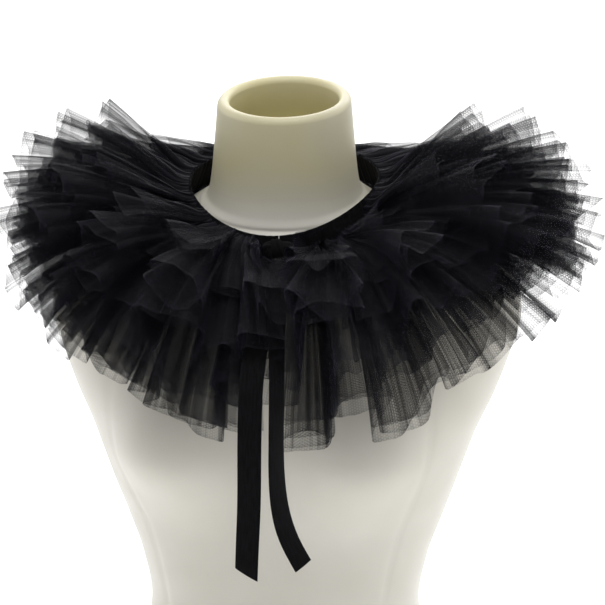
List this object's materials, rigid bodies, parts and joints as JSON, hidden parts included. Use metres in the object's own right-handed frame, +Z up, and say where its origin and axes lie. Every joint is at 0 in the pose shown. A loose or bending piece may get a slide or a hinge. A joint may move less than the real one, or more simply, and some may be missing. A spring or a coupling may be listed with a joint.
{
  "type": "ruff collar on dress form",
  "caption": "Gathered tulle ruff on a ribbon neckband, tied in front with two hanging tails, resting on a hollow limbless dress form with an open neck.",
  "frame": {"origin": "centre of the dress form's flat base", "axes": "+Z up, -Y the front where the ribbon is tied, +X to the right of a viewer who faces the front"},
  "size_m": [0.4913, 0.4738, 0.7254],
  "materials": {
    "form_ivory": "off-white glass-fibre shell with a soft satin gloss",
    "velvet_black": "deep black velvet ribbon",
    "tulle_black": "sheer black nylon tulle net, gathered"
  },
  "bodies": {
    "root": {"dress_form": "form_ivory", "neckband": "velvet_black", "tie_knot": "velvet_black", "tie_tail_left": "velvet_black", "tie_tail_right": "velvet_black", "ruffle_1_under": "tulle_black", "ruffle_2_lower": "tulle_black", "ruffle_3_middle": "tulle_black", "ruffle_4_upper": "tulle_black", "ruffle_5_crown": "tulle_black", "ruffle_6_frill": "tulle_black"}
  },
  "joints": []
}
